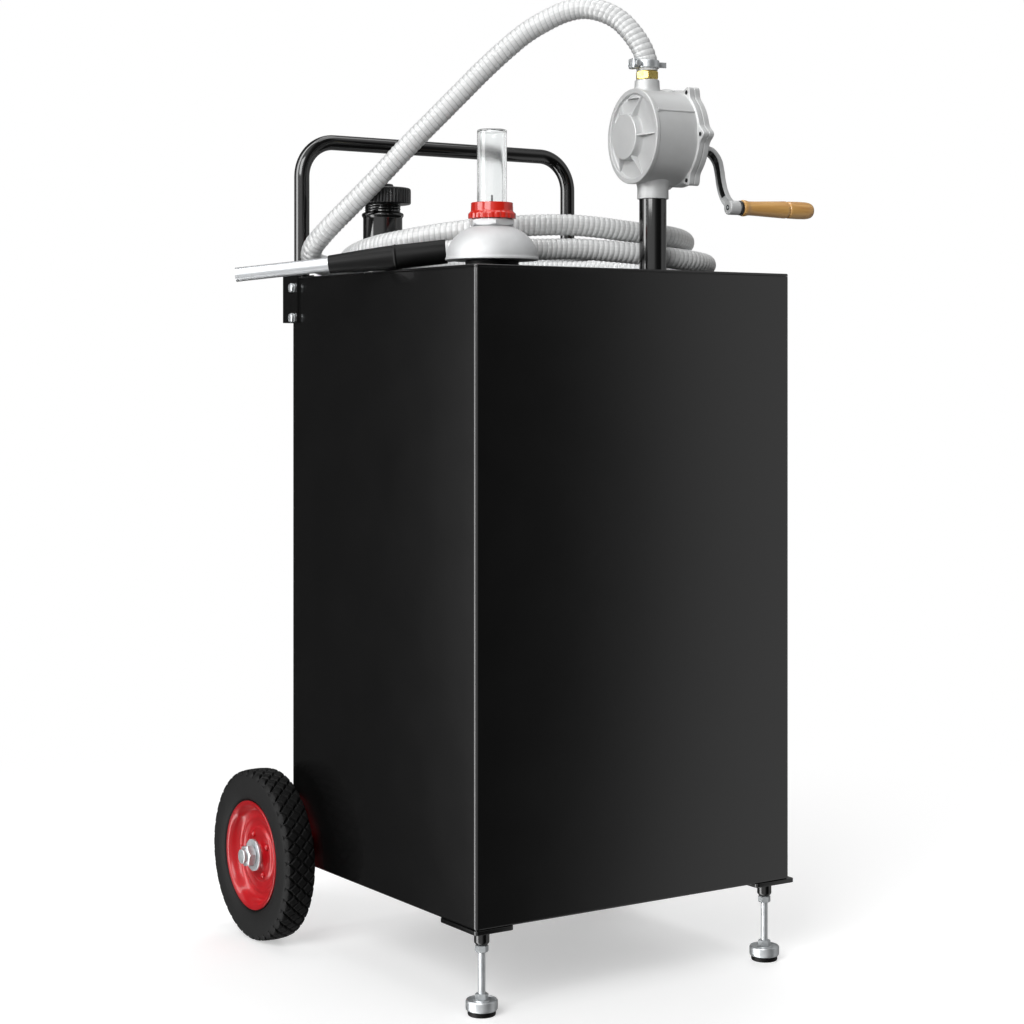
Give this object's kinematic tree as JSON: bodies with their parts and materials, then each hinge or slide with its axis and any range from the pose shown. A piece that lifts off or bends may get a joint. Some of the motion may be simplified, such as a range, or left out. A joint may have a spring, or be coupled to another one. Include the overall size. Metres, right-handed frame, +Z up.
{
  "type": "fuel caddy",
  "caption": "Upright steel fuel tank on rear wheels and levelling feet, with push handle, float gauge, screw cap, hand-cranked rotary pump and coiled ribbed hose with nozzle.",
  "frame": {"origin": "middle of the footprint at floor level, measured without the hose and its nozzle", "axes": "+Z up; -Y is the front, where the levelling feet are; +X is the pump side, across the axle"},
  "size_m": [0.6481, 0.5504, 1.1431],
  "materials": {
    "black_paint": "black powder coat, smooth and slightly glossy",
    "black_plastic": "moulded, slightly glossy",
    "black_rubber": "matt moulded rubber",
    "tyre_rubber": "matt, moulded tread",
    "zinc_plate": "bright zinc plating",
    "red_paint": "glossy red powder coat",
    "cast_aluminium": "cast, silver finish",
    "red_plastic": "glossy moulded red",
    "clear_plastic": "clear, polished",
    "hose_plastic": "off-white ribbed hose, slightly glossy",
    "brass": "machined",
    "turned_wood": "turned and varnished",
    "bright_tube": "bare drawn tube"
  },
  "bodies": {
    "caddy": {"tank_shell": "black_paint", "tank_top": "black_paint", "front_left_foot_bracket": "black_paint", "front_right_foot_bracket": "black_paint", "left_axle_ear": "black_paint", "right_axle_ear": "black_paint", "handle_tube": "black_paint", "left_handle_clip": "black_paint", "right_handle_clip": "black_paint", "filler_neck": "black_paint", "stand_pipe": "black_paint", "dip_tube": "black_plastic", "gauge_gasket": "black_rubber", "nozzle_grip": "black_rubber", "front_left_jam_nut": "zinc_plate", "front_right_jam_nut": "zinc_plate", "axle": "zinc_plate", "left_axle_washer": "zinc_plate", "right_axle_washer": "zinc_plate", "left_axle_nut": "zinc_plate", "right_axle_nut": "zinc_plate", "left_handle_bolt_1": "zinc_plate", "left_handle_bolt_2": "zinc_plate", "right_handle_bolt_1": "zinc_plate", "right_handle_bolt_2": "zinc_plate", "gauge_stem": "zinc_plate", "hose_clamp": "zinc_plate", "gauge_dome": "cast_aluminium", "gauge_neck": "cast_aluminium", "pump_housing": "cast_aluminium", "pump_cover": "cast_aluminium", "gauge_collar": "red_plastic", "gauge_tube": "clear_plastic", "hose_riser": "hose_plastic", "hose_loops": "hose_plastic", "hose_barb": "brass", "nozzle_tube": "bright_tube"},
    "left_wheel": {"left_tyre": "tyre_rubber", "left_rim": "red_paint"},
    "right_wheel": {"right_tyre": "tyre_rubber", "right_rim": "red_paint"},
    "left_foot": {"front_left_foot_stud": "zinc_plate", "front_left_foot_disc": "zinc_plate", "front_left_foot_pad": "black_rubber"},
    "right_foot": {"front_right_foot_stud": "zinc_plate", "front_right_foot_disc": "zinc_plate", "front_right_foot_pad": "black_rubber"},
    "crank": {"pump_shaft": "zinc_plate", "pump_rotor": "zinc_plate", "lower_vane": "black_plastic", "upper_vane": "black_plastic", "crank_arm": "cast_aluminium", "crank_nut": "zinc_plate", "grip_pin": "zinc_plate"},
    "crank_grip": {"grip_ferrule": "black_plastic", "wooden_grip": "turned_wood"},
    "float_lever": {"float_arm": "zinc_plate", "float": "black_plastic"},
    "indicator": {"indicator_rod": "black_plastic"},
    "cap": {"filler_cap": "black_plastic"}
  },
  "joints": [
    {"name": "left_wheel_spin", "type": "hinge", "parent": "caddy", "child": "left_wheel", "pos_m": [-0.2525, 0.17066, 0.1045], "axis": [1, 0, 0], "continuous": true},
    {"name": "right_wheel_spin", "type": "hinge", "parent": "caddy", "child": "right_wheel", "pos_m": [0.2525, 0.17066, 0.1045], "axis": [1, 0, 0], "continuous": true},
    {"name": "crank_turn", "type": "hinge", "parent": "caddy", "child": "crank", "pos_m": [0.06736, -0.19638, 0.9766], "axis": [0.9954, -0.0958, 0], "continuous": true},
    {"name": "grip_spin", "type": "hinge", "parent": "crank", "child": "crank_grip", "pos_m": [0.06391, -0.23225, 0.89566], "axis": [0.9954, -0.0958, 0], "continuous": true},
    {"name": "float_swing", "type": "hinge", "parent": "caddy", "child": "float_lever", "pos_m": [-0.154, -0.19734, 0.448], "axis": [1, 0, 0], "range_deg": [0, 110]},
    {"name": "indicator_rise", "type": "slide", "parent": "caddy", "child": "indicator", "axis": [0, 0, 1], "range_m": [0, 0.072]},
    {"name": "filler_cap_lift", "type": "slide", "parent": "caddy", "child": "cap", "axis": [0, 0, 1], "range_m": [0, 0.04]},
    {"name": "left_foot_screw", "type": "slide", "parent": "caddy", "child": "left_foot", "axis": [0, 0, 1], "range_m": [-0.004, 0.012]},
    {"name": "right_foot_screw", "type": "slide", "parent": "caddy", "child": "right_foot", "axis": [0, 0, 1], "range_m": [-0.004, 0.012]}
  ],
  "couplings": [
    {"joint": "indicator_rise", "follows": "float_swing", "m_per_rad": 0.036461}
  ]
}
